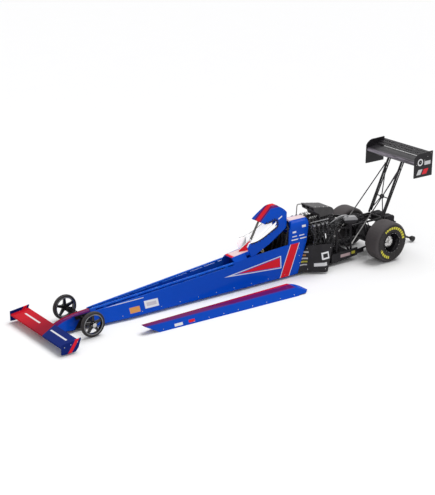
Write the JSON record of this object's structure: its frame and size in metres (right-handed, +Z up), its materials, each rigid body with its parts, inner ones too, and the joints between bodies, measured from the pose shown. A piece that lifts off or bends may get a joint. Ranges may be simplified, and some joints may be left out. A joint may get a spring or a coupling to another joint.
{
  "type": "scale model drag racing car",
  "caption": "Scale model of a long-nosed drag racing car with open engine, tall rear wing, fat rear slicks and a lift-off top cover lying beside it.",
  "frame": {"origin": "on the floor, in the middle of the box round the car and the cover that lies beside it", "axes": "+X forward along the car, +Y to the car's left, where the cover lies, +Z up"},
  "size_m": [0.4176, 0.0951, 0.0998],
  "materials": {
    "body_blue": "gloss blue paint",
    "wing_paint": "gloss red and blue paint",
    "frame_blue": "gloss blue paint",
    "deflector_red": "gloss red",
    "chassis_black": "satin black",
    "engine_black": "satin black moulding",
    "panel_black": "semi-gloss black",
    "hat_grey": "dark grey moulding",
    "wheel_black": "gloss black",
    "tyre": "matte dark grey rubber",
    "bright_metal": "bright bare metal",
    "yoke_gold": "pale gold moulding",
    "interior_black": "matte black moulding",
    "belt": "matte black rubber",
    "line_grey": "grey line",
    "tank_grey": "light grey moulding",
    "pack_black": "matte black moulding"
  },
  "bodies": {
    "chassis": {"tub": "body_blue", "nose": "body_blue", "front_wing": "wing_paint", "wing_mount": "body_blue", "front_end_plate_left": "body_blue", "front_end_plate_right": "body_blue", "front_axle": "chassis_black", "frame_rail_left": "frame_blue", "frame_rail_right": "frame_blue", "cowl": "body_blue", "wind_deflector": "deflector_red", "cockpit_shroud": "body_blue", "windscreen_post": "line_grey", "roll_hoop": "bright_metal", "seat": "interior_black", "steering_yoke": "yoke_gold", "shoulder_panel": "body_blue", "firewall": "interior_black", "engine_block": "engine_black", "cylinder_head_left": "engine_black", "cylinder_head_right": "engine_black", "headers_left": "engine_black", "headers_right": "engine_black", "supercharger": "engine_black", "drive_belt": "belt", "injector_hat": "hat_grey", "breather_line": "line_grey", "clutch_can": "engine_black", "rear_frame": "chassis_black", "breather_tank": "tank_grey", "side_panel_left": "panel_black", "side_panel_right": "panel_black", "belly_pan": "panel_black", "axle_housing": "chassis_black", "wing_strut_left": "chassis_black", "wing_strut_right": "chassis_black", "wing_stay_left": "bright_metal", "wing_stay_right": "bright_metal", "cross_brace": "chassis_black", "rear_wing": "panel_black", "rear_wing_flap_1": "panel_black", "rear_wing_flap_2": "panel_black", "rear_wing_flap_3": "panel_black", "rear_end_plate_left": "panel_black", "rear_end_plate_right": "panel_black", "parachute_packs": "pack_black", "wheelie_bar": "chassis_black"},
    "front_wheel_left": {"front_rim_left": "wheel_black", "front_tyre_left": "tyre"},
    "front_wheel_right": {"front_rim_right": "wheel_black", "front_tyre_right": "tyre"},
    "rear_wheels": {"rear_axle": "bright_metal", "rear_rim_left": "wheel_black", "rear_rim_right": "wheel_black", "rear_tyre_left": "tyre", "rear_tyre_right": "tyre"},
    "wheelie_wheel_pair": {"wheelie_wheels": "wheel_black"},
    "cover": {"top_cover": "body_blue"}
  },
  "joints": [
    {"name": "front_wheel_left_spin", "type": "hinge", "parent": "chassis", "child": "front_wheel_left", "pos_m": [0.1683, 0.018, 0.0109], "axis": [0, 1, 0], "continuous": true},
    {"name": "front_wheel_right_spin", "type": "hinge", "parent": "chassis", "child": "front_wheel_right", "pos_m": [0.1683, -0.0276, 0.0109], "axis": [0, 1, 0], "continuous": true},
    {"name": "rear_wheels_spin", "type": "hinge", "parent": "chassis", "child": "rear_wheels", "pos_m": [-0.1492, -0.0048, 0.0191], "axis": [0, 1, 0], "continuous": true},
    {"name": "wheelie_wheels_spin", "type": "hinge", "parent": "chassis", "child": "wheelie_wheel_pair", "pos_m": [-0.2062, -0.0048, 0.0034], "axis": [0, 1, 0], "continuous": true},
    {"name": "cover_lift", "type": "slide", "parent": "chassis", "child": "cover", "axis": [0, 0, 1], "range_m": [0, 0.06]}
  ]
}
